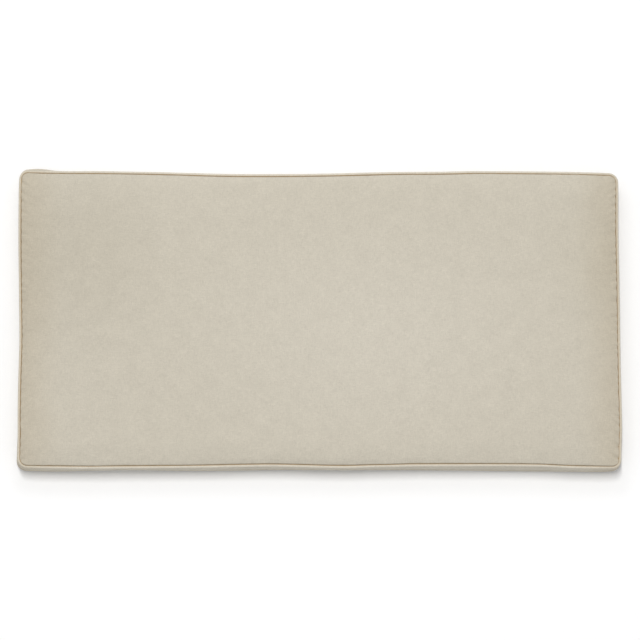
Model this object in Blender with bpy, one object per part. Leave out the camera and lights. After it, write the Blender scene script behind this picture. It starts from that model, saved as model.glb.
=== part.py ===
"""A box-edge bench cushion in plain canvas, piped round both faces, lying on its back.

Metres, +Z up. The long side runs along X and the front edge faces -Y. The origin is on
the floor, below the middle of the cushion.
"""

import math
from collections import namedtuple

import bmesh
import bpy
from mathutils import Matrix

# ---------------------------------------------------------------- driving dimensions
HALF_LENGTH = 0.5945  # middle to the sewn edge at either short end
HALF_DEPTH = 0.2910  # middle to the sewn edge at the front and at the back
LOWER_SEAM = 0.008  # height of the lower seam above the floor
UPPER_SEAM = 0.054  # height of the upper seam: the boxing strip is 46 mm wide

EDGE_RISE = 0.0115  # the face rises this much as it leaves the seam
EDGE_REACH = 0.0095  # and most of that rise lies within this distance of the seam
DOME_RISE = 0.0035  # further rise from there to the middle of the face
TUCK_REACH = 0.022  # the underside lifts off the floor this far inside the lower seam

PIPING_RADIUS = 0.0026  # a 4 mm cord in a bias-cut strip
PIPING_OUT = 0.0031  # the piping's centre lies this far outside the seam
PIPING_STEP = 0.028  # spacing of its points along a straight edge
PIPING_SIDES = 2  # bevel resolution, which gives eight sides
ARC_STEPS = 8  # points round a corner

# Radius of the upper and lower seams at each corner, by the sides that meet there.
CORNER_RADIUS = {
    ("left", "back"): 0.017,
    ("right", "back"): 0.018,
    ("right", "front"): 0.013,
    ("left", "front"): 0.018,
}

# How far each sewn edge strays outwards (+) or inwards (-) from its straight pattern
# line, at stops along it, for the upper and the lower seam.
Stop = namedtuple("Stop", "along upper lower")

FRONT = (
    Stop(-0.594, 0.0000, 0.0006),
    Stop(-0.530, 0.0014, 0.0023),
    Stop(-0.460, 0.0020, 0.0009),
    Stop(-0.390, 0.0015, -0.0004),
    Stop(-0.240, 0.0002, 0.0005),
    Stop(-0.110, -0.0021, -0.0006),
    Stop(-0.060, -0.0016, -0.0009),
    Stop(0.040, 0.0008, 0.0000),
    Stop(0.110, -0.0007, -0.0007),
    Stop(0.190, -0.0024, -0.0012),
    Stop(0.430, -0.0022, 0.0007),
    Stop(0.500, 0.0009, 0.0022),
    Stop(0.560, 0.0018, 0.0029),
    Stop(0.594, 0.0018, 0.0014),
)
BACK = (
    Stop(-0.594, 0.0045, 0.0115),
    Stop(-0.560, 0.0036, 0.0139),
    Stop(-0.520, 0.0030, 0.0095),
    Stop(-0.430, 0.0026, 0.0040),
    Stop(-0.320, 0.0008, 0.0010),
    Stop(-0.190, -0.0027, -0.0010),
    Stop(-0.080, -0.0031, -0.0015),
    Stop(0.020, -0.0020, -0.0010),
    Stop(0.160, 0.0012, 0.0005),
    Stop(0.230, 0.0014, 0.0010),
    Stop(0.320, 0.0029, 0.0015),
    Stop(0.480, 0.0016, 0.0005),
    Stop(0.540, 0.0002, 0.0000),
    Stop(0.594, -0.0018, 0.0000),
)
LEFT = (
    Stop(-0.291, 0.0008, 0.0050),
    Stop(-0.230, 0.0002, 0.0030),
    Stop(-0.190, 0.0006, 0.0008),
    Stop(-0.110, -0.0005, -0.0005),
    Stop(-0.045, -0.0020, -0.0010),
    Stop(0.030, -0.0008, -0.0005),
    Stop(0.130, 0.0010, 0.0005),
    Stop(0.250, 0.0015, 0.0015),
    Stop(0.291, 0.0000, 0.0030),
)
RIGHT = (
    Stop(-0.291, 0.0000, 0.0000),
    Stop(-0.250, 0.0008, 0.0005),
    Stop(-0.212, 0.0022, 0.0010),
    Stop(-0.150, 0.0011, 0.0005),
    Stop(-0.050, -0.0003, 0.0000),
    Stop(0.070, -0.0012, -0.0010),
    Stop(0.170, -0.0026, -0.0015),
    Stop(0.291, -0.0020, -0.0010),
)

# The boxing strip between the seams: it is drawn in at both and swells between them.
Fold = namedtuple("Fold", "height_share out")

BOXING = (
    Fold(0.00, -0.0005),
    Fold(0.07, 0.0010),
    Fold(0.18, 0.0030),
    Fold(0.50, 0.0044),
    Fold(0.82, 0.0030),
    Fold(0.93, 0.0010),
    Fold(1.00, -0.0005),
)

# Distances from the sewn edge at which the faces bend, then an even step to the middle.
BENDS = (0.002, 0.0045, 0.007, 0.0105, 0.014, 0.019, 0.027, 0.040, 0.060, 0.095)
INNER_STEP = 0.075

CANVAS = (0.578, 0.533, 0.445, 1.0)
PIPING_CANVAS = (0.610, 0.562, 0.470, 1.0)
CLOTH_ROUGHNESS = 0.9
SHARP_ANGLE = math.radians(50)
TOUCH = 1e-6  # points this close to a plane of the pattern lie in it


# ---------------------------------------------------------------- the sewn outline
def side_of(x, y):
    """The names of the short and the long side that a point is nearer to."""
    return ("left" if x < 0 else "right"), ("front" if y < 0 else "back")


def slope_at(stops, i, column):
    """How fast one column changes at a stop, from its neighbours on either side."""
    before = stops[max(i - 1, 0)]
    after = stops[min(i + 1, len(stops) - 1)]
    change = getattr(after, column) - getattr(before, column)
    return change / (after.along - before.along)


def stray(stops, along, column):
    """One column of an edge's table at any place along it, on a smooth cubic."""
    along = min(max(along, stops[0].along), stops[-1].along)
    i = max(k for k in range(len(stops) - 1) if stops[k].along <= along)
    span = stops[i + 1].along - stops[i].along
    t = (along - stops[i].along) / span
    start = getattr(stops[i], column)
    end = getattr(stops[i + 1], column)
    start_pull = slope_at(stops, i, column) * span
    end_pull = slope_at(stops, i + 1, column) * span
    smooth = t * t * (3 - 2 * t)
    return (
        start
        + (end - start) * smooth
        + start_pull * t * (1 - t) ** 2
        - end_pull * t * t * (1 - t)
    )


def edge_stray(stops, along, height_share):
    """An edge's stray between the lower seam (0) and the upper seam (1)."""
    lower = stray(stops, along, "lower")
    upper = stray(stops, along, "upper")
    return lower + (upper - lower) * height_share


def sewn(x, y, height_share):
    """Where a point of the straight pattern lies once the cushion is sewn and filled."""
    across = (x + HALF_LENGTH) / (2 * HALF_LENGTH)
    along = (y + HALF_DEPTH) / (2 * HALF_DEPTH)
    left = edge_stray(LEFT, y, height_share)
    right = edge_stray(RIGHT, y, height_share)
    front = edge_stray(FRONT, x, height_share)
    back = edge_stray(BACK, x, height_share)
    return (
        x - left * (1 - across) + right * across,
        y - front * (1 - along) + back * along,
    )


def rounded(x, y, out):
    """A point of the square-cornered pattern, moved so that the corners are round.

    Lines at one distance inside the edge become arcs about the corner's centre. A point
    on the edge itself is also moved outwards by out.
    """
    radius = CORNER_RADIUS[side_of(x, y)]
    past_x = abs(x) - (HALF_LENGTH - radius)
    past_y = abs(y) - (HALF_DEPTH - radius)
    if past_x > 0 and past_y > 0:
        stretch = (max(past_x, past_y) + out) / math.hypot(past_x, past_y)
        past_x *= stretch
        past_y *= stretch
    elif past_x > past_y:
        past_x += out
    else:
        past_y += out
    return (
        math.copysign(HALF_LENGTH - radius + past_x, x),
        math.copysign(HALF_DEPTH - radius + past_y, y),
    )


def corner_points(short_side, long_side, out):
    """Points round one corner, from the long side to the short one."""
    radius = CORNER_RADIUS[short_side, long_side]
    toward_x = -1 if short_side == "left" else 1
    toward_y = -1 if long_side == "front" else 1
    points = []
    for step in range(ARC_STEPS + 1):
        turn = math.pi / 2 * (1 - step / ARC_STEPS)
        x = HALF_LENGTH - radius + (radius + out) * math.cos(turn)
        y = HALF_DEPTH - radius + (radius + out) * math.sin(turn)
        points.append((toward_x * x, toward_y * y))
    return points


def run(start, end):
    """Evenly spaced points between two, without the two themselves."""
    count = max(1, round(math.dist(start, end) / PIPING_STEP))
    shares = [step / count for step in range(1, count)]
    return [
        (start[0] + (end[0] - start[0]) * share, start[1] + (end[1] - start[1]) * share)
        for share in shares
    ]


def outline(out, height_share):
    """The sewn outline, once round from the front edge by the right-hand corner."""
    corners = [
        corner_points("right", "front", out),
        corner_points("right", "back", out)[::-1],
        corner_points("left", "back", out),
        corner_points("left", "front", out)[::-1],
    ]
    points = []
    for corner, following in zip(corners, corners[1:] + corners[:1]):
        points += corner + run(corner[-1], following[0])
    return [sewn(x, y, height_share) for x, y in points]


def middle():
    """The middle of the box round both pipings, seen from above."""
    points = outline(PIPING_OUT, 0) + outline(PIPING_OUT, 1)
    xs, ys = zip(*points)
    return (min(xs) + max(xs)) / 2, (min(ys) + max(ys)) / 2


# ---------------------------------------------------------------- the filled cushion
def between(table, height_share):
    """How far the boxing stands out at a height between its table's folds."""
    for low, high in zip(table, table[1:]):
        if height_share <= high.height_share + TOUCH:
            part = (height_share - low.height_share) / (
                high.height_share - low.height_share
            )
            return low.out + (high.out - low.out) * part
    return table[-1].out


def face_height(x, y):
    """Height of the top panel over a point of the pattern."""
    inset_x = HALF_LENGTH - abs(x)
    inset_y = HALF_DEPTH - abs(y)
    inset = inset_x * inset_y / (inset_x**3 + inset_y**3) ** (1 / 3)
    edge = EDGE_RISE * (1 - math.exp(-inset / EDGE_REACH))
    dome = DOME_RISE * (1 - (x / HALF_LENGTH) ** 2) * (1 - (y / HALF_DEPTH) ** 2)
    return UPPER_SEAM + edge + dome


def underside_height(x, y):
    """Height of the bottom panel: flat on the floor, and lifting towards its seam."""
    inset = min(HALF_LENGTH - abs(x), HALF_DEPTH - abs(y))
    lift = max(0.0, 1 - inset / TUCK_REACH)
    return LOWER_SEAM * lift**2


def stations(half):
    """Where the faces are divided, along an axis of this half length."""
    inner = half - BENDS[-1]
    count = round(2 * inner / INNER_STEP)
    places = [inner * (2 * step / count - 1) for step in range(1, count)]
    for bend in BENDS:
        places += [half - bend, bend - half]
    return places


def cut_across(work, normal, places):
    """Divides every face of the block where planes across this axis pass through it."""
    for place in places:
        bmesh.ops.bisect_plane(
            work,
            geom=work.verts[:] + work.edges[:] + work.faces[:],
            plane_co=[place * part for part in normal],
            plane_no=normal,
            dist=TOUCH,
        )


def shaped(point):
    """Where a point of the straight-sided block lies on the filled cushion."""
    x, y, z = point
    height_share = (z - LOWER_SEAM) / (UPPER_SEAM - LOWER_SEAM)
    on_edge = max(abs(x) - HALF_LENGTH, abs(y) - HALF_DEPTH) > -TOUCH
    if on_edge:
        out = between(BOXING, height_share)
    else:
        out = 0.0
        z = face_height(x, y) if height_share > 0.5 else underside_height(x, y)
    return (*sewn(*rounded(x, y, out), height_share), z)


def make_cushion(collection, material):
    """One filled solid: top panel, boxing strip and bottom panel, sewn and stuffed."""
    thickness = UPPER_SEAM - LOWER_SEAM
    size = Matrix.Diagonal((2 * HALF_LENGTH, 2 * HALF_DEPTH, thickness, 1))
    lifted = Matrix.Translation((0, 0, (UPPER_SEAM + LOWER_SEAM) / 2))
    work = bmesh.new()
    bmesh.ops.create_cube(work, size=1, matrix=lifted @ size)
    cut_across(work, (1, 0, 0), stations(HALF_LENGTH))
    cut_across(work, (0, 1, 0), stations(HALF_DEPTH))
    folds = [LOWER_SEAM + thickness * fold.height_share for fold in BOXING[1:-1]]
    cut_across(work, (0, 0, 1), folds)
    for vert in work.verts:
        vert.co = shaped(vert.co)
    resting = [f for f in work.faces if max(v.co.z for v in f.verts) < TOUCH]
    bmesh.ops.dissolve_faces(work, faces=resting, use_verts=True)
    mesh = bpy.data.meshes.new("cushion")
    work.to_mesh(mesh)
    work.free()
    mesh.shade_smooth()
    mesh.set_sharp_from_angle(angle=SHARP_ANGLE)
    mesh.materials.append(material)
    cushion = bpy.data.objects.new("cushion", mesh)
    collection.objects.link(cushion)
    return cushion


# ---------------------------------------------------------------- the pipings
def make_piping(name, height, height_share, collection, material):
    """A cord in a strip of canvas, in the channel of one seam, all the way round."""
    points = outline(PIPING_OUT, height_share)
    curve = bpy.data.curves.new(name, "CURVE")
    curve.dimensions = "3D"
    curve.bevel_depth = PIPING_RADIUS
    curve.bevel_resolution = PIPING_SIDES
    spline = curve.splines.new("POLY")
    spline.points.add(len(points) - 1)
    for point, (x, y) in zip(spline.points, points):
        point.co = (x, y, height, 1)
    spline.use_cyclic_u = True
    spline.use_smooth = True
    curve.materials.append(material)
    piping = bpy.data.objects.new(name, curve)
    collection.objects.link(piping)
    return piping


# ---------------------------------------------------------------- the whole part
def cloth(name, colour):
    """A matt woven cloth of one colour."""
    material = bpy.data.materials.new(name)
    material.use_nodes = True
    shader = material.node_tree.nodes["Principled BSDF"]
    shader.inputs["Base Color"].default_value = colour
    shader.inputs["Roughness"].default_value = CLOTH_ROUGHNESS
    shader.inputs["Metallic"].default_value = 0.0
    return material


def main():
    for old in list(bpy.data.objects):
        bpy.data.objects.remove(old, do_unlink=True)
    collection = bpy.data.collections.new("bench_cushion")
    bpy.context.scene.collection.children.link(collection)
    canvas = cloth("canvas", CANVAS)
    piping_canvas = cloth("piping_canvas", PIPING_CANVAS)
    pieces = [
        make_cushion(collection, canvas),
        make_piping("piping_top", UPPER_SEAM, 1, collection, piping_canvas),
        make_piping("piping_bottom", LOWER_SEAM, 0, collection, piping_canvas),
    ]
    origin = bpy.data.objects.new("bench_cushion_origin", None)
    collection.objects.link(origin)
    middle_x, middle_y = middle()
    origin.location = (-middle_x, -middle_y, 0)
    for piece in pieces:
        piece.parent = origin


main()
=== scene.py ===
# %% [markdown]
# # A piped bench cushion
#
# A long seat cushion in beige canvas lies on its back, seen from almost straight above.
# A maker cuts it from five pieces of cloth: a top panel, a bottom panel, one boxing strip
# for the four sides, and two bias strips that are wrapped round a cord and sewn into the
# two seams as piping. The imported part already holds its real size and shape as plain
# solids. This lesson dresses it: the same cushion again, cut finely enough to be filled,
# gathered and woven.

# %% The fixed frame
import math
from collections import namedtuple

import bmesh
import bpy
import numpy as np
from mathutils import Matrix, Vector, noise


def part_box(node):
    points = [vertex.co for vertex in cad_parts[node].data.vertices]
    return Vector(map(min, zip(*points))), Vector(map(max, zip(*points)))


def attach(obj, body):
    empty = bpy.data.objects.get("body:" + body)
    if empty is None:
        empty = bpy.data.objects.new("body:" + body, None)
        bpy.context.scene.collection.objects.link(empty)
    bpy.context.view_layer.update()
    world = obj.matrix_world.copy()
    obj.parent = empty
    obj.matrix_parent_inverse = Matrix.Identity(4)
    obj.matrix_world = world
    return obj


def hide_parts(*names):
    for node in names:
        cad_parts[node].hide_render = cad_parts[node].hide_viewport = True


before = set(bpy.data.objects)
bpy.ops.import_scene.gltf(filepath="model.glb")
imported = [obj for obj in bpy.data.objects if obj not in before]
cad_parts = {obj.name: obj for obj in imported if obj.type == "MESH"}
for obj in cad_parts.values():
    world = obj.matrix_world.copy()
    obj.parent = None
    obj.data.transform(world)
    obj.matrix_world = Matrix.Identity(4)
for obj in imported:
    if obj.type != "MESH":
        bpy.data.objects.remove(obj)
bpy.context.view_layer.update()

# %% [markdown]
# The camera comes first, because everything is judged through it. The cushion lies flat
# and is seen from 83.5 degrees above the floor, so that a thin band of its front side
# still shows below the near piping. A long lens from far away keeps the opposite edges
# parallel, as they are in such a catalogue picture.

# %% The camera
CAMERA_ELEVATION = math.radians(83.5)
CAMERA_DISTANCE = 10.0
CAMERA_LENS_MM = 281.6
LOOK_AT = Vector((0.0023, -0.0037, 0.035))


def make_camera():
    """A long lens, tilted back a little from straight above."""
    data = bpy.data.cameras.new("camera")
    data.lens = CAMERA_LENS_MM
    data.clip_end = 10 * CAMERA_DISTANCE
    camera = bpy.data.objects.new("camera", data)
    tilt = math.pi / 2 - CAMERA_ELEVATION
    back = Vector((0, -math.sin(tilt), math.cos(tilt)))
    camera.location = LOOK_AT + back * CAMERA_DISTANCE
    camera.rotation_euler = (tilt, 0, 0)
    bpy.context.scene.collection.objects.link(camera)
    bpy.context.scene.camera = camera
    return camera


camera = make_camera()
print("camera at", [round(c, 3) for c in camera.location])

# %% [markdown]
# A sewn cushion is never a true rectangle. The pattern is one, but each edge wanders a
# few millimetres once the cover is turned right side out and filled. The straight pattern
# and these small strays are kept apart here: every piece is first laid out on the
# pattern, then one function moves it to where it lies on the real cushion. The tables
# follow the solids' own, so both models share an outline. Only the corners turn a little
# tighter here, and the front's lower seam stands a millimetre or two further out.

# %% The straight pattern
HALF_LENGTH = 0.5945
HALF_DEPTH = 0.2910
LOWER_SEAM = 0.008
UPPER_SEAM = 0.054
BOXING_WIDTH = UPPER_SEAM - LOWER_SEAM

CORNER_RADIUS = {
    ("left", "back"): 0.012,
    ("right", "back"): 0.014,
    ("right", "front"): 0.012,
    ("left", "front"): 0.014,
}
print("pattern, mm:", round(2000 * HALF_LENGTH), "by", round(2000 * HALF_DEPTH))

# %% How far each edge strays from the pattern, outwards (+) or inwards (-)
Stop = namedtuple("Stop", "along upper lower")

FRONT = (
    Stop(-0.594, 0.0000, 0.0016),
    Stop(-0.530, 0.0014, 0.0035),
    Stop(-0.460, 0.0020, 0.0023),
    Stop(-0.390, 0.0015, 0.0010),
    Stop(-0.240, 0.0002, 0.0025),
    Stop(-0.110, -0.0021, 0.0010),
    Stop(-0.060, -0.0016, 0.0005),
    Stop(0.040, 0.0008, 0.0012),
    Stop(0.110, -0.0007, 0.0009),
    Stop(0.190, -0.0024, 0.0010),
    Stop(0.430, -0.0022, 0.0033),
    Stop(0.500, 0.0009, 0.0040),
    Stop(0.560, 0.0018, 0.0041),
    Stop(0.594, 0.0018, 0.0024),
)
BACK = (
    Stop(-0.594, 0.0045, 0.0115),
    Stop(-0.560, 0.0036, 0.0139),
    Stop(-0.520, 0.0030, 0.0095),
    Stop(-0.430, 0.0026, 0.0040),
    Stop(-0.320, 0.0008, 0.0010),
    Stop(-0.190, -0.0027, -0.0010),
    Stop(-0.080, -0.0031, -0.0015),
    Stop(0.020, -0.0020, -0.0010),
    Stop(0.160, 0.0012, 0.0005),
    Stop(0.230, 0.0014, 0.0010),
    Stop(0.320, 0.0029, 0.0015),
    Stop(0.480, 0.0016, 0.0005),
    Stop(0.540, 0.0002, 0.0000),
    Stop(0.594, -0.0018, 0.0000),
)
LEFT = (
    Stop(-0.291, 0.0008, 0.0050),
    Stop(-0.230, 0.0002, 0.0030),
    Stop(-0.190, 0.0006, 0.0008),
    Stop(-0.110, -0.0005, -0.0005),
    Stop(-0.045, -0.0020, -0.0010),
    Stop(0.030, -0.0008, -0.0005),
    Stop(0.130, 0.0010, 0.0005),
    Stop(0.250, 0.0015, 0.0015),
    Stop(0.291, 0.0000, 0.0030),
)
RIGHT = (
    Stop(-0.291, 0.0000, 0.0000),
    Stop(-0.250, 0.0008, 0.0005),
    Stop(-0.212, 0.0022, 0.0010),
    Stop(-0.150, 0.0011, 0.0005),
    Stop(-0.050, -0.0003, 0.0000),
    Stop(0.070, -0.0012, -0.0010),
    Stop(0.170, -0.0026, -0.0015),
    Stop(0.291, -0.0020, -0.0010),
)


# %% A smooth curve through one edge's stops
def slope_at(stops, i, column):
    """How fast one column changes at a stop, from its neighbours on either side."""
    before = stops[max(i - 1, 0)]
    after = stops[min(i + 1, len(stops) - 1)]
    change = getattr(after, column) - getattr(before, column)
    return change / (after.along - before.along)


def stray(stops, along, column):
    """One column of an edge's table at any place along it, on a smooth cubic."""
    along = min(max(along, stops[0].along), stops[-1].along)
    i = max(k for k in range(len(stops) - 1) if stops[k].along <= along)
    span = stops[i + 1].along - stops[i].along
    t = (along - stops[i].along) / span
    start = getattr(stops[i], column)
    end = getattr(stops[i + 1], column)
    start_pull = slope_at(stops, i, column) * span
    end_pull = slope_at(stops, i + 1, column) * span
    smooth = t * t * (3 - 2 * t)
    return (
        start
        + (end - start) * smooth
        + start_pull * t * (1 - t) ** 2
        - end_pull * t * t * (1 - t)
    )


def edge_stray(stops, along, height_share):
    """An edge's stray between the lower seam (0) and the upper seam (1)."""
    lower = stray(stops, along, "lower")
    upper = stray(stops, along, "upper")
    return lower + (upper - lower) * height_share


print("front edge, mid-seam stray, mm:", round(edge_stray(FRONT, 0, 0.5) * 1000, 2))


# %% From the pattern to the sewn cushion
def side_of(x, y):
    """The names of the short and the long side that a point is nearer to."""
    return ("left" if x < 0 else "right"), ("front" if y < 0 else "back")


def rounded(x, y, out):
    """A point of the square-cornered pattern, moved so that the corners are round."""
    radius = CORNER_RADIUS[side_of(x, y)]
    past_x = abs(x) - (HALF_LENGTH - radius)
    past_y = abs(y) - (HALF_DEPTH - radius)
    if past_x > 0 and past_y > 0:
        stretch = (max(past_x, past_y) + out) / math.hypot(past_x, past_y)
        past_x *= stretch
        past_y *= stretch
    elif past_x > past_y:
        past_x += out
    else:
        past_y += out
    return (
        math.copysign(HALF_LENGTH - radius + past_x, x),
        math.copysign(HALF_DEPTH - radius + past_y, y),
    )


def sewn(x, y, height_share):
    """Where a point of the pattern lies once the cushion is sewn and filled."""
    across = (x + HALF_LENGTH) / (2 * HALF_LENGTH)
    along = (y + HALF_DEPTH) / (2 * HALF_DEPTH)
    left = edge_stray(LEFT, y, height_share)
    right = edge_stray(RIGHT, y, height_share)
    front = edge_stray(FRONT, x, height_share)
    back = edge_stray(BACK, x, height_share)
    return (
        x - left * (1 - across) + right * across,
        y - front * (1 - along) + back * along,
    )


corner_place = sewn(HALF_LENGTH, -HALF_DEPTH, 1)
print("front right corner lies at, mm:", [round(c * 1000, 1) for c in corner_place])

# %% [markdown]
# The solids stand with the middle of their box on the origin. That middle is worked out
# here from the same outline, so that each new piece can be laid over its solid. The
# outline runs once round, anticlockwise from the front edge, straight along the sides and
# on an arc round each corner.

# %% The outline, once round
PIPING_RADIUS = 0.0026
PIPING_OUT = 0.0027
OUTLINE_STEP = 0.0027
ARC_STEPS = 12


def corner_points(short_side, long_side, out):
    """Points round one corner, from the long side to the short one."""
    radius = CORNER_RADIUS[short_side, long_side]
    toward_x = -1 if short_side == "left" else 1
    toward_y = -1 if long_side == "front" else 1
    points = []
    for step in range(ARC_STEPS + 1):
        turn = math.pi / 2 * (1 - step / ARC_STEPS)
        x = HALF_LENGTH - radius + (radius + out) * math.cos(turn)
        y = HALF_DEPTH - radius + (radius + out) * math.sin(turn)
        points.append((toward_x * x, toward_y * y))
    return points


def run(start, end):
    """Evenly spaced points between two, without the two themselves."""
    count = max(1, round(math.dist(start, end) / OUTLINE_STEP))
    shares = [step / count for step in range(1, count)]
    return [
        (start[0] + (end[0] - start[0]) * share, start[1] + (end[1] - start[1]) * share)
        for share in shares
    ]


def pattern_outline(out):
    """The pattern's outline with its round corners, once round."""
    corners = [
        corner_points("right", "front", out),
        corner_points("right", "back", out)[::-1],
        corner_points("left", "back", out),
        corner_points("left", "front", out)[::-1],
    ]
    points = []
    for corner, following in zip(corners, corners[1:] + corners[:1]):
        points += corner + run(corner[-1], following[0])
    return points


def middle():
    """Where the middle of the sewn outline lies on the pattern, from the upper piping's box."""
    places = [sewn(x, y, 1) for x, y in pattern_outline(PIPING_OUT + PIPING_RADIUS)]
    box_low, box_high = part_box("piping_top")
    shift = []
    for axis, along in enumerate(zip(*places)):
        shift.append((min(along) + max(along) - box_low[axis] - box_high[axis]) / 2)
    return Vector((*shift, 0))


MIDDLE = middle()
print("middle of the sewn outline, mm:", [round(c * 1000, 2) for c in MIDDLE])

# %% [markdown]
# The cover is cut flat: one grid of cloth is the inside of the top panel, and rings of
# finer cloth are added round it by extruding its rim outwards to the seam, then down the
# boxing. The rings crowd together towards the seam, where the cloth bends most. A mirror
# makes the lower half. A plain subdivided block would waste its faces on the flat middle
# and have none left for the gathers along the seams.
#
# The mesh operators don't number the corners alike in every run, and a simulation makes
# such a difference grow. So the finished cut is laid out once more in a fixed order.

# %% Sizes of the cut
BORDER = 0.024  # the fine rings begin this far inside the seam
CELL = 0.008  # size of the squares inside them
RIM_CUTS = 2  # each square meets three faces of the first ring
RING_INSETS = (0.0195, 0.0157, 0.0125, 0.0098, 0.0076, 0.0058, 0.0043, 0.0031, 0.0021, 0.0012, 0.0005, 0)
RING_HEIGHTS = (0.985, 0.965, 0.94, 0.905, 0.86, 0.80, 0.72, 0.62, 0.50)  # shares of the boxing's width
TOUCH = 1e-6
PLACE_DIGITS = 7  # a tenth of a micrometre
print("rings:", len(RING_INSETS), "on each panel,", 2 * len(RING_HEIGHTS), "on the boxing")


# %% Cut the cloth
def add_ring(work, rim, scale, drop):
    """One more ring of cloth beyond the rim, and the new rim."""
    grown = bmesh.ops.extrude_edge_only(work, edges=rim)["geom"]
    verts = [g for g in grown if isinstance(g, bmesh.types.BMVert)]
    bmesh.ops.scale(work, verts=verts, vec=(*scale, 1))
    bmesh.ops.translate(work, verts=verts, vec=(0, 0, -drop))
    return [g for g in grown if isinstance(g, bmesh.types.BMEdge) and g.is_boundary]


def in_order(work):
    """The same cloth with its vertices and faces in a fixed order, so that every run fills it alike."""
    for vert in work.verts:
        vert.co = [round(c, PLACE_DIGITS) for c in vert.co]
    ordered = sorted(work.verts, key=lambda vert: vert.co[:])
    number = {vert: i for i, vert in enumerate(ordered)}
    rings = []
    for face in work.faces:
        ring = [number[vert] for vert in face.verts]
        first = ring.index(min(ring))
        rings.append(ring[first:] + ring[:first])
    laid_out = bmesh.new()
    verts = [laid_out.verts.new(vert.co) for vert in ordered]
    for ring in sorted(rings):
        laid_out.faces.new([verts[i] for i in ring])
    laid_out.verts.index_update()
    laid_out.normal_update()
    work.free()
    return laid_out


def cut_cover():
    """The whole cover on the straight pattern: two panels and the boxing, one closed shell."""
    half_x = HALF_LENGTH - BORDER
    half_y = HALF_DEPTH - BORDER
    work = bmesh.new()
    bmesh.ops.create_grid(
        work,
        x_segments=round(2 * half_x / CELL),
        y_segments=round(2 * half_y / CELL),
        size=1,
        matrix=Matrix.Translation((0, 0, UPPER_SEAM)) @ Matrix.Diagonal((half_x, half_y, 1, 1)),
    )
    rim = [e for e in work.edges if e.is_boundary]
    bmesh.ops.subdivide_edges(work, edges=rim, cuts=RIM_CUTS, quad_corner_type="INNER_VERT")
    rim = [e for e in work.edges if e.is_boundary]
    for inset in RING_INSETS:
        scale = (HALF_LENGTH - inset) / half_x, (HALF_DEPTH - inset) / half_y
        rim = add_ring(work, rim, scale, 0)
        half_x, half_y = HALF_LENGTH - inset, HALF_DEPTH - inset
    height_share = 1
    for lower_share in RING_HEIGHTS:
        rim = add_ring(work, rim, (1, 1), (height_share - lower_share) * BOXING_WIDTH)
        height_share = lower_share
    halfway = Matrix.Translation((0, 0, (UPPER_SEAM + LOWER_SEAM) / 2))
    bmesh.ops.mirror(work, geom=work.faces[:], matrix=halfway.inverted(), merge_dist=TOUCH, axis="Z")
    bmesh.ops.remove_doubles(work, verts=work.verts, dist=TOUCH)
    bmesh.ops.recalc_face_normals(work, faces=work.faces)
    return in_order(work)


cover_work = cut_cover()
print("cover:", len(cover_work.faces), "faces,", sum(e.is_boundary for e in cover_work.edges), "open edges")

# %% [markdown]
# Now the cover takes its stuffed shape. The foam gives the top panel a flat middle with a
# round shoulder along every seam, and right beside the seam the cloth makes one tight roll.
# The short sides are gathered: there the panel stands in puffs that hang a little over the
# seam, with slanting creases between them, deepest near the corners, where there is most
# cloth to take in. A sine with a drifting phase spaces them, because plain noise bunches
# them anywhere. The boxing is held at both seams, swells between them and sags a little.
# The bottom panel lies flat on the floor and lifts only near its seam.

# %% Sizes of the stuffed shape
ROLL_RISE_LONG = 0.0034  # along the long sides the panel climbs this much in one tight roll,
ROLL_RISE_SHORT = 0.0028  # along the short sides this much,
ROLL_UNEVEN = 0.2  # give or take this share between creases and puffs,
ROLL_WIDTH = 0.0016  # within this distance of the seam
PUFF_LENGTH = 0.019  # the short sides are gathered into puffs of about this length,
PUFF_DRIFT = 0.9  # that come closer together in some places than in others;
PUFF_DRIFT_LENGTH = 2.5 * PUFF_LENGTH
PUFF_OVER = {"left": 0.0008, "right": 0.0014}  # which hang this far over the seam
CREASE_DEPTH = 0.0055  # and leave creases of this depth between them, near a corner,
CREASE_REACH = 0.014  # that fade over this distance from the seam
CREASE_SLANT = 0.6  # they lean towards the corner
CORNER_REACH = 0.08
CREASED_MIDWAY = 0.12  # share of that depth far from a corner
CREASED = {  # each corner's share on top; the front right one was gathered most
    ("left", "back"): 0.7,
    ("right", "back"): 0.45,
    ("right", "front"): 1.0,
    ("left", "front"): 0.5,
}
SEAM_DRIFT = 0.0003  # the long sides hang over their seam by this much, in places
SEAM_DRIFT_LENGTH = 0.06
SHOULDER_RISE = 0.0090  # the rounding of the foam behind it climbs this much more:
SHOULDER_LONG = 0.0125  # quickly on the long sides, then ever less,
SHOULDER_SHORT = 0.032  # and in one wide arc on the short sides, where the cover is less full
DOME_RISE = 0.0022
TUCK_REACH = 0.022
BOXING_DRAWN_IN = 0.0005
BOXING_SWELL = 0.0060
BOXING_FLATNESS = 3
BOXING_SAG = 0.7  # below 1, the boxing swells most a little below its middle
SLACK = 0.8  # the cover starts with this share of its swell, and the filling does the rest
PUFF_SEED = 7  # each seed only picks a part of the noise
DRIFT_SEED = 4
print("puffs along a short side:", round(2 * HALF_DEPTH / PUFF_LENGTH))


# %% The stuffed shape
def puff(along, seed):
    """0 in a crease between two puffs of a gathered edge, and 1 on a puff."""
    drift = noise.noise((along / PUFF_DRIFT_LENGTH, seed, 0.5))
    return abs(math.sin(math.pi * (along / PUFF_LENGTH + PUFF_DRIFT * drift)))


def share_of_short(inset_x, inset_y):
    """1 beside a short side, 0 beside a long one, and in between round a corner."""
    return inset_y**2 / max(inset_x**2 + inset_y**2, TOUCH**2)


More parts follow.
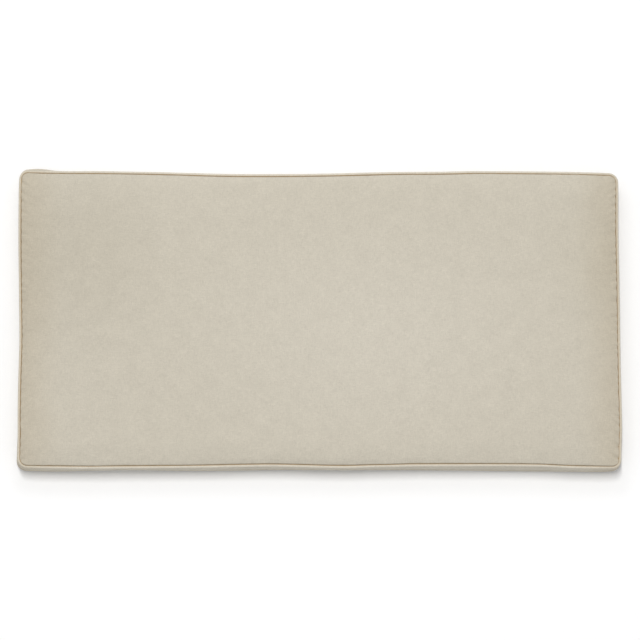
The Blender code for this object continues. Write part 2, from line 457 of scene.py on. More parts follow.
def face_height(x, y, fullness=1.0):
    """Height of the top panel over a point of the pattern."""
    inset_x = HALF_LENGTH - abs(x)
    inset_y = HALF_DEPTH - abs(y)
    inset = min(inset_x, inset_y)
    to_short = share_of_short(inset_x, inset_y)
    puffed = puff(y + CREASE_SLANT * math.copysign(inset_x, y), math.copysign(PUFF_SEED, x))
    short_rise = ROLL_RISE_SHORT * (1 - ROLL_UNEVEN + 2 * ROLL_UNEVEN * puffed)
    roll_rise = ROLL_RISE_LONG + (short_rise - ROLL_RISE_LONG) * to_short
    roll = roll_rise * math.sqrt(1 - max(0.0, 1 - inset / ROLL_WIDTH) ** 2)
    creased = CREASED_MIDWAY + CREASED[side_of(x, y)] * math.exp(-((inset_y / CORNER_REACH) ** 2))
    crease = CREASE_DEPTH * (1 - puffed) ** 2 * to_short * creased * math.exp(-inset_x / CREASE_REACH)
    crease *= min(1.0, inset / ROLL_WIDTH)
    arc = 1 - max(0.0, 1 - inset_x / SHOULDER_SHORT) ** 2
    curve = 1 - math.exp(-inset_y / SHOULDER_LONG)
    shoulder = (ROLL_RISE_LONG + SHOULDER_RISE - roll_rise) * arc * curve
    dome = DOME_RISE * (1 - (x / HALF_LENGTH) ** 2) * (1 - (y / HALF_DEPTH) ** 2)
    return UPPER_SEAM + roll - crease + (shoulder + dome) * fullness


def overhang(x, y):
    """How far the panel hangs out over its seam at a point just inside it."""
    inset_x = HALF_LENGTH - abs(x)
    inset_y = HALF_DEPTH - abs(y)
    inset = min(inset_x, inset_y) / ROLL_WIDTH
    short_over = PUFF_OVER[side_of(x, y)[0]] * puff(y, math.copysign(PUFF_SEED, x))
    drift = noise.noise((x / SEAM_DRIFT_LENGTH, math.copysign(DRIFT_SEED, y), 0))
    long_over = SEAM_DRIFT * (1 + 2 * drift)
    over = long_over + (short_over - long_over) * share_of_short(inset_x, inset_y)
    return over * inset * math.exp(1 - inset)


def underside_height(x, y):
    """Height of the bottom panel: flat on the floor, and lifting towards its seam."""
    inset = min(HALF_LENGTH - abs(x), HALF_DEPTH - abs(y))
    return LOWER_SEAM * max(0.0, 1 - inset / TUCK_REACH) ** 2


def boxing_out(height_share, fullness=1.0):
    """How far the boxing stands out from the seams at a height between them."""
    swell = 1 - abs(2 * max(0.0, height_share) ** BOXING_SAG - 1) ** BOXING_FLATNESS
    return BOXING_SWELL * swell * fullness - BOXING_DRAWN_IN


def stuffed(point, fullness=1.0):
    """Where a point of the straight-sided cover lies on the filled cushion."""
    x, y, z = point
    height_share = (z - LOWER_SEAM) / BOXING_WIDTH
    out = 0.0
    if max(abs(x) - HALF_LENGTH, abs(y) - HALF_DEPTH) > -TOUCH:
        out = boxing_out(height_share, fullness)
    elif height_share > 0.5:
        z = face_height(x, y, fullness)
        out = overhang(x, y)
    else:
        z = underside_height(x, y)
    return Vector((*sewn(*rounded(x, y, out), height_share), z)) - MIDDLE


print("middle of the face, mm high:", round(face_height(0, 0) * 1000, 1))

# %% [markdown]
# Cloth carries its own coordinates: the threads run where the cutter laid the panel, not
# where the room's axes point. So the weave is drawn on a UV map that holds metres of
# cloth, measured over the rounded shoulder as a tape would be, so that no thread is
# stretched. A second map follows the seams: metres along one, and metres away from it.

# %% Lay the cloth's own coordinates
PERIMETER = 4 * (HALF_LENGTH + HALF_DEPTH)
PANEL_APART = 0.8
TAPE_STEP = 0.00025
OPEN_DITCH = 0.0012  # the boxing meets its piping more openly than the panels do


def along_seam(side, x, y):
    """Distance along the seam, anticlockwise from the left end of the front edge."""
    return {
        "front": x + HALF_LENGTH,
        "right": 2 * HALF_LENGTH + y + HALF_DEPTH,
        "back": 3 * HALF_LENGTH + 2 * HALF_DEPTH - x,
        "left": 4 * HALF_LENGTH + 3 * HALF_DEPTH - y,
    }[side]


def nearest_edge(x, y):
    """The edge that a point of the pattern is nearest to, and how far inside it is."""
    inset_x = HALF_LENGTH - abs(x)
    inset_y = HALF_DEPTH - abs(y)
    short_side, long_side = side_of(x, y)
    return (short_side, inset_x) if inset_x < inset_y else (long_side, inset_y)


def tape(half, height_at):
    """Insets from the seam, and the cloth that lies over each of them on the filled cushion."""
    insets = np.linspace(0, half, round(half / TAPE_STEP) + 1)
    heights = np.array([height_at(half - inset) for inset in insets])
    return insets, np.concatenate([[0], np.cumsum(np.hypot(np.diff(insets), np.diff(heights)))])


LONG_TAPE = tape(HALF_DEPTH, lambda y: face_height(0, y))
SHORT_TAPE = tape(HALF_LENGTH, lambda x: face_height(x, 0))


def taped(place, half, measured):
    """Metres of cloth from the seam to a place, and from the panel's middle to it."""
    from_seam = float(np.interp(half - abs(place), *measured))
    return from_seam, math.copysign(measured[1][-1] - from_seam, place)


def lay_coordinates(work):
    """Writes the cloth map and the seam map, before the cover is shaped."""
    cloth_map = work.loops.layers.uv.new("cloth")
    seam_map = work.loops.layers.uv.new("seam")
    for face in work.faces:
        centre = face.calc_center_median()
        side, inset = nearest_edge(centre.x, centre.y)
        on_boxing = inset < TOUCH
        on_top = centre.z > (UPPER_SEAM + LOWER_SEAM) / 2
        for loop in face.loops:
            x, y, z = loop.vert.co
            reach = along_seam(side, x, y)
            if on_boxing:
                loop[cloth_map].uv = (reach, z + PANEL_APART)
                loop[seam_map].uv = (reach, min(z - LOWER_SEAM, UPPER_SEAM - z) + OPEN_DITCH)
            else:
                from_short, cloth_x = taped(x, HALF_LENGTH, SHORT_TAPE)
                from_long, cloth_y = taped(y, HALF_DEPTH, LONG_TAPE)
                loop[cloth_map].uv = (cloth_x, cloth_y if on_top else cloth_y - PANEL_APART)
                loop[seam_map].uv = (reach, from_short if side in ("left", "right") else from_long)


lay_coordinates(cover_work)
print("cloth over half the depth, mm:", round(LONG_TAPE[1][-1] * 1000, 1))


# %% Shape the cover
def make_cover(work):
    """The shaped cover as an object, with its pattern and its held places kept."""
    pattern = [vert.co.copy() for vert in work.verts]
    for vert in work.verts:
        vert.co = stuffed(vert.co, SLACK)
    mesh = bpy.data.meshes.new("cushion_cover")
    work.to_mesh(mesh)
    work.free()
    mesh.shade_smooth()
    cover = bpy.data.objects.new("cushion_cover", mesh)
    bpy.context.scene.collection.objects.link(cover)
    return cover, pattern


cover, pattern = make_cover(cover_work)
print("cover vertices:", len(pattern))

# %% [markdown]
# The filling is a cloth simulation. Pressure pushes the slack cover outwards, both seams
# are held, and each panel is a little larger than its seam, as a real one is, so that it
# buckles into small gathers beside the stitching. Air alone would blow the cushion up
# like a balloon, but foam holds its face flat: so the further the air pushes a point from
# the stuffed shape, the more of that push is taken back. The large gathers above are drawn,
# so that they lie where they should. The small ones come from here, because only buckled
# cloth forks and fades like that. The underside isn't simulated, as the floor keeps it flat.

# %% Fill the cover
FILL_FRAMES = 9
FILL_PRESSURE = 0.6
EASE = 0.006  # share by which each panel is cut larger than its seam
FOAM_GIVE = 0.0016  # no point ends further than this from the stuffed shape


def is_under(point):
    """True on the bottom panel, inside its seam."""
    return point[2] < LOWER_SEAM + TOUCH and nearest_edge(point[0], point[1])[1] > TOUCH


def is_held(point):
    """True on the two seams."""
    at_seam = min(abs(point[2] - UPPER_SEAM), abs(point[2] - LOWER_SEAM)) < TOUCH
    return at_seam and nearest_edge(point[0], point[1])[1] < TOUCH


def loose_cloth(cover, pattern):
    """A copy of the cover without its underside, with each vertex's number on the cover."""
    work = bmesh.new()
    work.from_mesh(cover.data)
    numbers = work.verts.layers.int.new("number")
    for vert in work.verts:
        vert[numbers] = vert.index
    under = [vert for vert in work.verts if is_under(pattern[vert.index])]
    bmesh.ops.delete(work, geom=under, context="VERTS")
    kept = [vert[numbers] for vert in work.verts]
    mesh = bpy.data.meshes.new("loose_cloth")
    work.to_mesh(mesh)
    work.free()
    loose = bpy.data.objects.new("loose_cloth", mesh)
    bpy.context.scene.collection.objects.link(loose)
    return loose, kept


def fill(cover, pattern):
    """Inflates the loose cloth and returns where its vertices end, and their numbers."""
    loose, kept = loose_cloth(cover, pattern)
    held = loose.vertex_groups.new(name="held")
    held.add([i for i, k in enumerate(kept) if is_held(pattern[k])], 1.0, "REPLACE")
    filling = loose.modifiers.new("filling", "CLOTH")
    settings = filling.settings
    settings.vertex_group_mass = "held"
    settings.quality = 4
    settings.use_pressure = True
    settings.uniform_pressure_force = FILL_PRESSURE
    settings.shrink_min = -EASE
    settings.tension_stiffness = 40
    settings.compression_stiffness = 40
    settings.shear_stiffness = 10
    settings.bending_stiffness = 0.5
    settings.effector_weights.gravity = 0
    filling.point_cache.frame_start = 1
    filling.point_cache.frame_end = FILL_FRAMES
    for frame_number in range(1, FILL_FRAMES + 1):
        bpy.context.scene.frame_set(frame_number)
    filled = loose.evaluated_get(bpy.context.evaluated_depsgraph_get())
    places = np.empty(3 * len(kept))
    filled.data.vertices.foreach_get("co", places)
    bpy.data.objects.remove(loose)
    return places.reshape(-1, 3), kept


def give_back(push, give):
    """A push that the foam resists: small ones pass, large ones end short of the give."""
    length = np.linalg.norm(push, axis=1, keepdims=True)
    return push * give / (give + length)


places = np.array([stuffed(point) for point in pattern])
inflated, numbers = fill(cover, pattern)
push = inflated - places[numbers]
places[numbers] += give_back(push, FOAM_GIVE)
print("air pushed up to", round(np.linalg.norm(push, axis=1).max() * 1000, 1), "mm")
cover.data.vertices.foreach_set("co", places.ravel())
cover.data.update()
print("cover height, mm:", round(places[:, 2].max() * 1000, 1))

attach(cover, "root")
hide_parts("cushion")

# %% [markdown]
# Piping is a flat strip, folded round a cord with its two edges caught in the seam. So it
# is made that way: a flat grid of cloth is rolled round the cord's section, a drop whose
# tail points into the seam, and led once round the cushion. The grid's own map turns with
# it, which keeps the threads on the bias along the whole strip. The cord is never quite
# even, and where the strip's two ends overlap it is a little thicker. A bevelled curve would
# be quicker, but its round section would leave an open gap beside the seam.

# %% Roll a strip round the cord
PIPING_FACES_ROUND = 14
TAIL = 0.0036  # from the cord's middle to the stitching, at the tail of the drop
CORD_UNEVEN = 0.00012  # the cord is thicker and thinner by this much,
UNEVEN_LENGTH = 0.02
CORD_WANDER = 0.00025  # and lies off its line by this much, outwards and upwards
OUTWARD_LENGTH = 0.06
UPWARD_LENGTH = 0.05
JOIN_AT = 0.012  # the strip's ends overlap in the front right corner, where the outline starts,
JOIN_LENGTH = 0.006
JOIN_RISE = 0.0005  # and it is this much thicker there


def drop_section(turn, radius):
    """Distance from the cord's middle to the strip, a turn away from the tail."""
    leaves_at = math.acos(radius / TAIL)
    from_tail = min(turn, 2 * math.pi - turn)
    if from_tail > leaves_at:
        return radius
    return radius / math.cos(leaves_at - from_tail)


def wobble(reach, size, seed):
    """Smooth unevenness from -1 to 1 along a seam, in steps of about this size."""
    turn = 2 * math.pi * reach / PERIMETER
    ring = PERIMETER / (2 * math.pi * size)
    return noise.noise((ring * math.cos(turn), ring * math.sin(turn), seed))


def flat_strip(length, columns):
    """The flat strip as a grid, with its cloth map and its seam map."""
    work = bmesh.new()
    cloth_map = work.loops.layers.uv.new("cloth")
    seam_map = work.loops.layers.uv.new("seam")
    bmesh.ops.create_grid(work, x_segments=columns, y_segments=PIPING_FACES_ROUND, size=1)
    width = 2 * math.pi * PIPING_RADIUS
    for face in work.faces:
        for loop in face.loops:
            reach = (loop.vert.co.x + 1) / 2 * length
            across = (loop.vert.co.y + 1) / 2 * width
            loop[cloth_map].uv = (reach, across)
            loop[seam_map].uv = (reach, min(across, width - across))
    return work


def make_piping(name, height, height_share, seed):
    """One strip, rolled round its cord and led round the cushion."""
    path = [sewn(x, y, height_share) for x, y in pattern_outline(PIPING_OUT)]
    lengths = [math.dist(path[i - 1], path[i]) for i in range(len(path))]
    total = sum(lengths)
    reaches = np.cumsum([0] + lengths[1:])
    work = flat_strip(total, len(path))
    for vert in work.verts:
        column = round((vert.co.x + 1) / 2 * len(path)) % len(path)
        turn = math.pi * (vert.co.y + 1)
        reach = reaches[column]
        here = Vector(path[column])
        along = Vector(path[(column + 1) % len(path)]) - Vector(path[column - 1])
        along.normalize()
        uneven = CORD_UNEVEN * wobble(reach, UNEVEN_LENGTH, seed)
        joined = JOIN_RISE * math.exp(-(((reach - JOIN_AT) / JOIN_LENGTH) ** 2))
        away = drop_section(turn, PIPING_RADIUS + uneven + joined)
        loose = CORD_WANDER * math.sin(turn / 2) ** 2
        out = -away * math.cos(turn) + loose * wobble(reach, OUTWARD_LENGTH, seed + 5)
        up = -away * math.sin(turn) + loose * wobble(reach, UPWARD_LENGTH, seed + 9)
        vert.co = Vector((here.x + along.y * out, here.y - along.x * out, height + up)) - MIDDLE
    bmesh.ops.remove_doubles(work, verts=work.verts, dist=TOUCH)
    bmesh.ops.recalc_face_normals(work, faces=work.faces)
    print(name, "faces:", len(work.faces), "open edges:", sum(e.is_boundary for e in work.edges))
    print(name, "length, m:", round(total, 3))
    mesh = bpy.data.meshes.new(name)
    work.to_mesh(mesh)
    work.free()
    mesh.shade_smooth()
    piping = bpy.data.objects.new(name, mesh)
    bpy.context.scene.collection.objects.link(piping)
    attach(piping, "root")
    return piping


upper_piping = make_piping("upper_piping", UPPER_SEAM, height_share=1, seed=1)
lower_piping = make_piping("lower_piping", LOWER_SEAM, height_share=0, seed=2)
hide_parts("piping_top")
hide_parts("piping_bottom")

# %% [markdown]
# Materials are node trees. A few small helpers keep the recipes readable: they place a
# node, do a sum on numbers or on vectors, and start or use a group with named inputs and
# outputs.

# %% Node helpers
def place(tree, kind, inputs=None, **settings):
    """A shader node: each input is a plain value or another node's output."""
    node = tree.nodes.new(kind)
    for name, value in settings.items():
        setattr(node, name, value)
    for name, value in (inputs or {}).items():
        if isinstance(value, bpy.types.NodeSocket):
            tree.links.new(value, node.inputs[name])
        else:
            node.inputs[name].default_value = value
    return node


def sum_of(tree, operation, first, second=0.0, third=0.0):
    """A Math node's answer."""
    return place(tree, "ShaderNodeMath", {0: first, 1: second, 2: third}, operation=operation).outputs[0]


def moved(tree, operation, first, second):
    """A Vector Math node's answer: two vectors, or for SCALE a vector and a number."""
    other = "Scale" if operation == "SCALE" else 1
    return place(tree, "ShaderNodeVectorMath", {0: first, other: second}, operation=operation).outputs[0]


def start_group(name, inputs, outputs):
    """A node group with its sockets, and its two end nodes."""
    tree = bpy.data.node_groups.new(name, "ShaderNodeTree")
    for socket, kind in inputs.items():
        tree.interface.new_socket(socket, in_out="INPUT", socket_type=kind)
    for socket, kind in outputs.items():
        tree.interface.new_socket(socket, in_out="OUTPUT", socket_type=kind)
    return tree, tree.nodes.new("NodeGroupInput").outputs, tree.nodes.new("NodeGroupOutput").inputs


def use_group(tree, group, inputs):
    """A group placed in a material, with its own values."""
    node = place(tree, "ShaderNodeGroup", node_tree=group)
    for name, value in inputs.items():
        if isinstance(value, bpy.types.NodeSocket):
            tree.links.new(value, node.inputs[name])
        else:
            node.inputs[name].default_value = value
    return node.outputs


# %% [markdown]
# Canvas is a plain weave: each thread passes over one crossing thread and under the next,
# like a chessboard. Across a thread the surface is round, along it the surface rises over
# a crossing and dips under it. The group works that out from metres of cloth, lets the
# threads wander a little, and gives each thread a shade of its own, because spun yarn is
# never one even colour. It also paints the low places between the threads darker, as
# painted shade between them.

# %% Sizes of the weave
DRIFT_SCALE = 0.11  # the threads wander in waves of about nine threads
YARN_STEP = 3.7  # how far apart two neighbouring threads lie in the yarn's noise
YARN_SCALE = 0.09  # a thread keeps one shade over about eleven crossings
DIP = 0.4  # share of its height that a thread loses between two crossings
# the low places between the threads are painted darker by these two: painted shade
GROOVE_PAINTED_SHADE = 0.84
GROOVE_PAINTED_CONTRAST = 0.22
YARN_SHADE = 0.85
YARN_CONTRAST = 0.30
thread_top = (GROOVE_PAINTED_SHADE + GROOVE_PAINTED_CONTRAST) * (YARN_SHADE + YARN_CONTRAST / 2)
print("shade on top of a thread:", round(thread_top, 3))


# %% Plain weave
def build_weave():
    """Height and shade of a plain weave, from metres of cloth; the shade holds each yarn's own tone and
    painted shade between the threads.
    """
    tree, given, answers = start_group(
        "plain_weave",
        {"Cloth": "NodeSocketVector", "Thread": "NodeSocketFloat", "Wander": "NodeSocketFloat"},
        {"Height": "NodeSocketFloat", "Shade": "NodeSocketFloat"},
    )
    threads = moved(tree, "SCALE", given["Cloth"], sum_of(tree, "DIVIDE", 1.0, given["Thread"]))
    drift = place(tree, "ShaderNodeTexNoise", {"Vector": threads, "Scale": DRIFT_SCALE, "Detail": 1.0})
    centred = moved(tree, "SUBTRACT", drift.outputs["Color"], (0.5, 0.5, 0.5))
    threads = moved(tree, "ADD", threads, moved(tree, "SCALE", centred, given["Wander"]))
    flat = moved(tree, "MULTIPLY", threads, (1.0, 1.0, 0.0))
    across = place(tree, "ShaderNodeSeparateXYZ", {0: flat}).outputs
    over = place(tree, "ShaderNodeTexChecker", {"Vector": flat, "Scale": 1.0}).outputs["Fac"]
    rounds, tones = [], []
    for axis, other in ("XY", "YX"):
        arc = sum_of(tree, "SINE", sum_of(tree, "MULTIPLY", across[axis], math.pi))
        rounds.append(sum_of(tree, "ABSOLUTE", arc))
        number = sum_of(tree, "MULTIPLY", sum_of(tree, "FLOOR", across[axis]), YARN_STEP)
        along = sum_of(tree, "MULTIPLY", across[other], YARN_SCALE)
        spun = place(tree, "ShaderNodeCombineXYZ", {"X": number, "Y": along}).outputs[0]
        yarn = {"Vector": spun, "Scale": 1.0, "Detail": 1.0}
        tones.append(place(tree, "ShaderNodeTexNoise", yarn, noise_dimensions="2D").outputs["Fac"])
    heights = []
    for own, other in (rounds, rounds[::-1]):
        arch = sum_of(tree, "MULTIPLY_ADD", other, DIP, 1 - DIP)
        heights.append(sum_of(tree, "MULTIPLY", own, arch))
    height = place(tree, "ShaderNodeMix", {"Factor": over, "A": heights[0], "B": heights[1]}).outputs[0]
    tone = place(tree, "ShaderNodeMix", {"Factor": over, "A": tones[0], "B": tones[1]}).outputs[0]
    painted_groove_shade = sum_of(tree, "MULTIPLY_ADD", height, GROOVE_PAINTED_CONTRAST, GROOVE_PAINTED_SHADE)
    spun_shade = sum_of(tree, "MULTIPLY_ADD", tone, YARN_CONTRAST, YARN_SHADE)
    shade = sum_of(tree, "MULTIPLY", painted_groove_shade, spun_shade)
    tree.links.new(height, answers["Height"])
    tree.links.new(shade, answers["Shade"])
    return tree


weave = build_weave()
print("plain_weave nodes:", len(weave.nodes))

# %% [markdown]
# Seen from further off, the threads melt together and what is left is a faint clouding:
# short slubs along both thread directions, and broad patches where the cloth took the dye
# unevenly. One group makes both, for every piece of cloth.

# %% Clouding
Cloud = namedtuple("Cloud", "per_metre detail weight")

CLOUDS = (
    Cloud((90.0, 420.0, 1.0), 1.0, 0.7),  # slubs along one thread direction
    Cloud((420.0, 90.0, 1.0), 1.0, 0.7),  # and along the other
    Cloud((330.0, 330.0, 1.0), 2.0, 1.0),  # fine mottling
    Cloud((110.0, 110.0, 1.0), 1.0, 0.5),
    Cloud((28.0, 28.0, 1.0), 3.0, 0.8),  # broad patches of uneven dye
)


def build_clouding():
    """A shade near 1 that varies softly over the cloth."""
    tree, given, answers = start_group(
        "clouding",
        {"Cloth": "NodeSocketVector", "Strength": "NodeSocketFloat"},
        {"Shade": "NodeSocketFloat"},
    )
    total = None
    for cloud in CLOUDS:
        stretched = moved(tree, "MULTIPLY", given["Cloth"], cloud.per_metre)
        pattern_here = {"Vector": stretched, "Scale": 1.0, "Detail": cloud.detail}
        patch = place(tree, "ShaderNodeTexNoise", pattern_here)
        centred = sum_of(tree, "SUBTRACT", patch.outputs["Fac"], 0.5)
        layer = sum_of(tree, "MULTIPLY", centred, cloud.weight)
        total = layer if total is None else sum_of(tree, "ADD", total, layer)
    shade = sum_of(tree, "MULTIPLY_ADD", total, given["Strength"], 1.0)
    tree.links.new(shade, answers["Shade"])
    return tree


clouding = build_clouding()
print("clouding nodes:", len(clouding.nodes))

# %% [markdown]
# Some marks show that a cover was sewn, and some light and shade is painted onto it. The
# ditch beside the stitching is painted darker and browner, here more and there less: painted
# shade for the light that bounces between the two cloths there. The stitches pull the cloth
# into a row of tiny dimples, with longer gathers between them. Both ends are painted a shade
# darker, most of all in a patch near each end, and the middle is painted a little lighter:
# painted shade and light for how the light falls over the face. One group makes all of it
# from the seam map and from the place on the cushion, for the panels and for the piping.

# %% Sizes and tones of the marks and of the painted shade and light
# The ditch beside each seam is painted darker and browner: painted shade for the recess where light bounces
# between the two cloths.
DITCH_SHADE_BROWN = (0.78, 0.62, 0.42, 1.0)
DITCH_SHADE_RANGE = (0.0008, 0.0034)  # full up to the first distance from the seam, gone at the second
DITCH_SHADE_PATCHES = 40.0  # changes a metre
DITCH_SHADE_LEAST = 0.65  # strength of the painted shade where it is lightest
# Both ends are painted a shade darker and browner: painted shade where the light falls off over the end
# shoulders.
ENDS_SHADE_TONE = (0.935, 0.91, 0.87, 1.0)
ENDS_SHADE_RANGE = (-0.02, 0.08)  # the same, from the cushion's ends
ENDS_SHADE_PATCHES = 14.0
ENDS_SHADE_UNEVEN = 0.03
STITCH_LENGTH = 0.0035
STITCH_REACH = 0.004
STITCH_HEIGHT = 0.08
GATHER_LENGTH = 0.011
GATHER_REACH = (0.002, 0.026)
ACROSS_GATHERS = 30.0

Patch = namedtuple("Patch", "middle stretch reach tone")

# Two patches of painted shade near the ends, and a painted patch of light in the middle.
PAINTED_LIGHT_PATCHES = (
    Patch((-0.50, 0.13), 1.0, 0.27, (0.925, 0.92, 0.905, 1.0)),  # painted shade near the left end,
    Patch((0.56, 0.13), 0.6, 0.14, (0.955, 0.95, 0.935, 1.0)),  # and near the right end
    Patch((0.12, -0.045), 1.6, 0.5, (1.055, 1.06, 1.075, 1.0)),  # a painted patch of light in the middle
)
print("stitches round each seam:", round(PERIMETER / STITCH_LENGTH))


# %% Marks along the seams, with painted shade and light
def fading(tree, value, start, end):
    """A mask that is 1 up to the start of a range and fades to 0 at its end."""
    fade = place(
        tree,
        "ShaderNodeMapRange",
        {"Value": value, "From Min": start, "From Max": end, "To Min": 1.0, "To Max": 0.0},
        interpolation_type="SMOOTHSTEP",
    )
    return fade.outputs["Result"]


def painted_over(tree, colour, painted_tone, mask):
    """A colour multiplied by a painted shade or light tone where the mask is 1."""
    mix = place(
        tree,
        "ShaderNodeMix",
        {"Factor": mask, "A": colour, "B": painted_tone},
        data_type="RGBA",
        blend_type="MULTIPLY",
    )
    return mix.outputs["Result"]


def mask_of(tree, patch, spot):
    """A soft round or oval patch on the cushion: 1 at its middle, 0 from its reach outwards."""
    flat = moved(tree, "MULTIPLY", spot, (1.0, patch.stretch, 0.0))
    centre = (patch.middle[0], patch.middle[1] * patch.stretch, 0.0)
    away = place(tree, "ShaderNodeVectorMath", {0: flat, 1: centre}, operation="DISTANCE")
    return fading(tree, away.outputs["Value"], 0.0, patch.reach)


def build_seam_marks_and_painted_shade():
    """Relief beside a seam, and a tint of painted shade and light over the ditch, the ends and the face,
    from the seam map and the place on the cushion.
    """
    tree, given, answers = start_group(
        "seam_marks_and_painted_shade",
        {"Seam": "NodeSocketVector", "Place": "NodeSocketVector"},
        {"Tint": "NodeSocketColor", "Height": "NodeSocketFloat"},
    )
    seam = place(tree, "ShaderNodeSeparateXYZ", {0: given["Seam"]}).outputs
    spot = place(tree, "ShaderNodeSeparateXYZ", {0: given["Place"]}).outputs
    depth = place(
        tree, "ShaderNodeTexNoise", {"Vector": given["Seam"], "Scale": DITCH_SHADE_PATCHES, "Detail": 1.0}
    )
    uneven = sum_of(tree, "ADD", depth.outputs["Fac"], DITCH_SHADE_LEAST)
    ditch_shade = sum_of(tree, "MULTIPLY", fading(tree, seam["Y"], *DITCH_SHADE_RANGE), uneven)
    patches = place(
        tree, "ShaderNodeTexNoise", {"Vector": given["Place"], "Scale": ENDS_SHADE_PATCHES, "Detail": 2.0}
    )
    to_end = sum_of(tree, "SUBTRACT", HALF_LENGTH, sum_of(tree, "ABSOLUTE", spot["X"]))
    ends_shade_reach = sum_of(tree, "MULTIPLY_ADD", patches.outputs["Fac"], -ENDS_SHADE_UNEVEN, to_end)
    unshaded = (1.0, 1.0, 1.0, 1.0)
    # painted shade towards both ends
    painted_tint = painted_over(tree, unshaded, ENDS_SHADE_TONE, fading(tree, ends_shade_reach, *ENDS_SHADE_RANGE))
    # painted shade patches near the ends, and a painted patch of light in the middle
    for patch in PAINTED_LIGHT_PATCHES:
        painted_tint = painted_over(tree, painted_tint, patch.tone, mask_of(tree, patch, given["Place"]))
    # painted shade in the ditch beside the seam
    painted_tint = painted_over(tree, painted_tint, DITCH_SHADE_BROWN, ditch_shade)
    gather_place = moved(tree, "MULTIPLY", given["Seam"], (1 / GATHER_LENGTH, ACROSS_GATHERS, 0.0))
    gathers = place(tree, "ShaderNodeTexNoise", {"Vector": gather_place, "Scale": 1.0, "Detail": 1.5})
    gathered = sum_of(tree, "MULTIPLY", gathers.outputs["Fac"], fading(tree, seam["Y"], *GATHER_REACH))
    stitch = sum_of(tree, "SINE", sum_of(tree, "MULTIPLY", seam["X"], 2 * math.pi / STITCH_LENGTH))
    pulled = sum_of(tree, "MULTIPLY", stitch, fading(tree, seam["Y"], 0.0, STITCH_REACH))
    tree.links.new(painted_tint, answers["Tint"])
    tree.links.new(sum_of(tree, "MULTIPLY_ADD", pulled, STITCH_HEIGHT, gathered), answers["Height"])
    return tree


seam_marks_and_painted_shade = build_seam_marks_and_painted_shade()
print("seam_marks_and_painted_shade nodes:", len(seam_marks_and_painted_shade.nodes))

# %% [markdown]
# Both cloths are the same canvas, matt and with a faint sheen from its loose fibres. The
# panels lie straight, and the strip round the cord is turned by 45 degrees. Its colour is
# painted a little paler: a painted highlight for its tight ridge, which catches the light.
# The threads and the gathers are a bump on top of the real folds: each is thinner than the
# mesh could hold.

# %% Canvas and piping cloth
THREAD = 0.0008
THREAD_WANDER = 1.2  # in threads
THREAD_HEIGHT = 0.00012
CLOUDINESS = 0.14
CANVAS = (0.574, 0.530, 0.4405, 1.0)
# the piping's colour is painted paler than the panels': a painted highlight on its ridge
PIPING_CANVAS_PAINTED_LIGHTER = (0.665, 0.614, 0.515, 1.0)


def tinted(tree, colour, painted_tint, shades):
    """A colour multiplied by the painted shade tint and by every shade in turn."""
    shade = sum_of(tree, "MULTIPLY", *shades)
    grey = place(tree, "ShaderNodeCombineXYZ", {"X": shade, "Y": shade, "Z": shade}).outputs[0]
    marked = painted_over(tree, colour, painted_tint, 1.0)
    return moved(tree, "MULTIPLY", marked, grey)


def make_cloth(name, colour, bias_turn, gathering):
    """A matt woven canvas on the piece's cloth map and seam map."""
    material = bpy.data.materials.new(name)
    material.use_nodes = True
    tree = material.node_tree
    shader = tree.nodes["Principled BSDF"]
    cloth = place(tree, "ShaderNodeUVMap", uv_map="cloth").outputs[0]
    seam = place(tree, "ShaderNodeUVMap", uv_map="seam").outputs[0]
    spot = place(tree, "ShaderNodeTexCoord").outputs["Object"]
    turned = place(tree, "ShaderNodeMapping", {"Vector": cloth, "Rotation": (0, 0, bias_turn)}).outputs[0]
    woven = use_group(tree, weave, {"Cloth": turned, "Thread": THREAD, "Wander": THREAD_WANDER})
    cloudy = use_group(tree, clouding, {"Cloth": turned, "Strength": CLOUDINESS})
    marks = use_group(tree, seam_marks_and_painted_shade, {"Seam": seam, "Place": spot})
    paint = tinted(tree, colour, marks["Tint"], [woven["Shade"], cloudy["Shade"]])
    tree.links.new(paint, shader.inputs["Base Color"])
    woven_bump = {"Height": woven["Height"], "Distance": THREAD_HEIGHT, "Strength": 1.0}
    threads = place(tree, "ShaderNodeBump", woven_bump).outputs[0]
    gathered_bump = {"Height": marks["Height"], "Distance": gathering, "Strength": 1.0, "Normal": threads}
    folds = place(tree, "ShaderNodeBump", gathered_bump)
    tree.links.new(folds.outputs["Normal"], shader.inputs["Normal"])
    shader.inputs["Roughness"].default_value = 0.9
    shader.inputs["Specular IOR Level"].default_value = 0.25
    shader.inputs["Sheen Weight"].default_value = 0.12
    shader.inputs["Sheen Roughness"].default_value = 0.5
    return material


canvas = make_cloth("canvas", CANVAS, bias_turn=0.0, gathering=0.0022)
bias_canvas_painted_highlight = make_cloth("bias_canvas_painted_highlight", PIPING_CANVAS_PAINTED_LIGHTER, bias_turn=math.radians(45), gathering=0.0008)
cover.data.materials.append(canvas)
for piping in (upper_piping, lower_piping):
    piping.data.materials.append(bias_canvas_painted_highlight)
print("threads across the face:", round(LONG_TAPE[1][-1] * 2 / THREAD))

# %% [markdown]
# The cushion is pictured on white, in soft light from above and a little from behind: the
# far side throws no shadow, and the near side a short soft one. An even white surround
# gives most of the light. A long strip of softbox, almost overhead and running from front
# to back, gives the direction and keeps the shadows at the two ends narrow. A small lamp
# lower down behind lights the far roll, and a low white card in front throws light back
# onto the near side.

# %% Floor
FLOOR_SIZE = 60.0
PAPER = (0.93, 0.93, 0.93, 1.0)


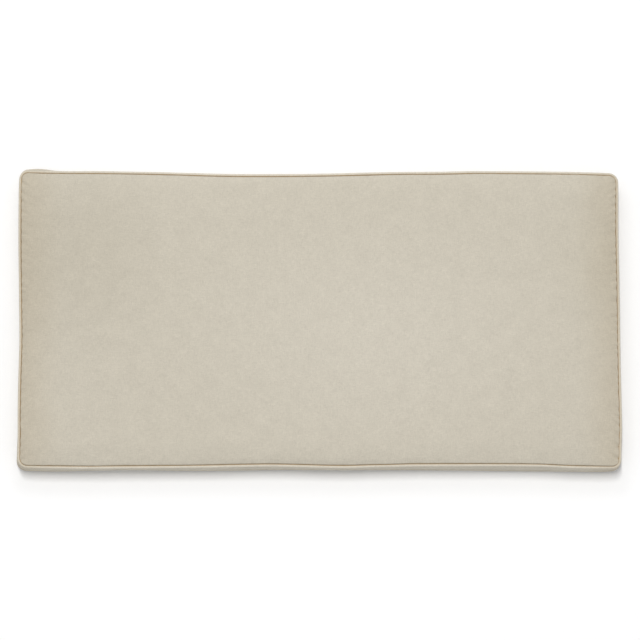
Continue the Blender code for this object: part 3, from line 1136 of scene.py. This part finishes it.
def make_floor():
    """A plain pale floor, which is only a stage."""
    work = bmesh.new()
    bmesh.ops.create_grid(work, x_segments=1, y_segments=1, size=FLOOR_SIZE / 2)
    mesh = bpy.data.meshes.new("floor")
    work.to_mesh(mesh)
    work.free()
    paper = bpy.data.materials.new("white_paper")
    paper.use_nodes = True
    shader = paper.node_tree.nodes["Principled BSDF"]
    shader.inputs["Base Color"].default_value = PAPER
    shader.inputs["Roughness"].default_value = 0.9
    shader.inputs["Specular IOR Level"].default_value = 0.0
    mesh.materials.append(paper)
    floor = bpy.data.objects.new("floor", mesh)
    bpy.context.scene.collection.objects.link(floor)
    return floor


floor = make_floor()
print("floor, m:", FLOOR_SIZE)


# %% Light
def add_softbox(name, size, watts, location, toward_light):
    """A rectangular lamp that faces away from the direction of its own place."""
    data = bpy.data.lights.new(name, "AREA")
    data.shape = "RECTANGLE"
    data.size, data.size_y = size
    data.energy = watts
    lamp = bpy.data.objects.new(name, data)
    lamp.location = location
    lamp.rotation_euler = toward_light.to_track_quat("Z", "Y").to_euler()
    lamp.visible_camera = False
    bpy.context.scene.collection.objects.link(lamp)
    return lamp


def make_softbox(name, azimuth, elevation, distance, size, floor_light):
    """A softbox aimed at the cushion, given by how much light it lays on a white floor."""
    toward = Vector((math.cos(azimuth) * math.cos(elevation), math.sin(azimuth) * math.cos(elevation), 0))
    toward.z = math.sin(elevation)
    watts = floor_light * (math.pi * distance) ** 2 / math.sin(elevation)
    print(name, "watts:", round(watts))
    return add_softbox(name, size, watts, toward * distance, toward)


def make_world(strength):
    """An even white surround."""
    world = bpy.data.worlds.new("studio")
    world.use_nodes = True
    background = world.node_tree.nodes["Background"]
    background.inputs["Color"].default_value = (1, 1, 1, 1)
    background.inputs["Strength"].default_value = strength
    bpy.context.scene.world = world


FROM_BEHIND = math.radians(98)
TO_FRONT = Vector((0, -1, 0))
CARD_PLACE = Vector((0, -0.43, 0.015))
make_world(0.56)
make_softbox("strip_softbox", FROM_BEHIND, math.radians(77), distance=20, size=(1.0, 7.5), floor_light=0.50)
make_softbox("back_softbox", FROM_BEHIND, math.radians(50), distance=3, size=(1.0, 1.0), floor_light=0.076)
add_softbox("front_card", size=(1.3, 0.02), watts=0.07, location=CARD_PLACE, toward_light=TO_FRONT)
bpy.context.scene.view_settings.view_transform = "Standard"
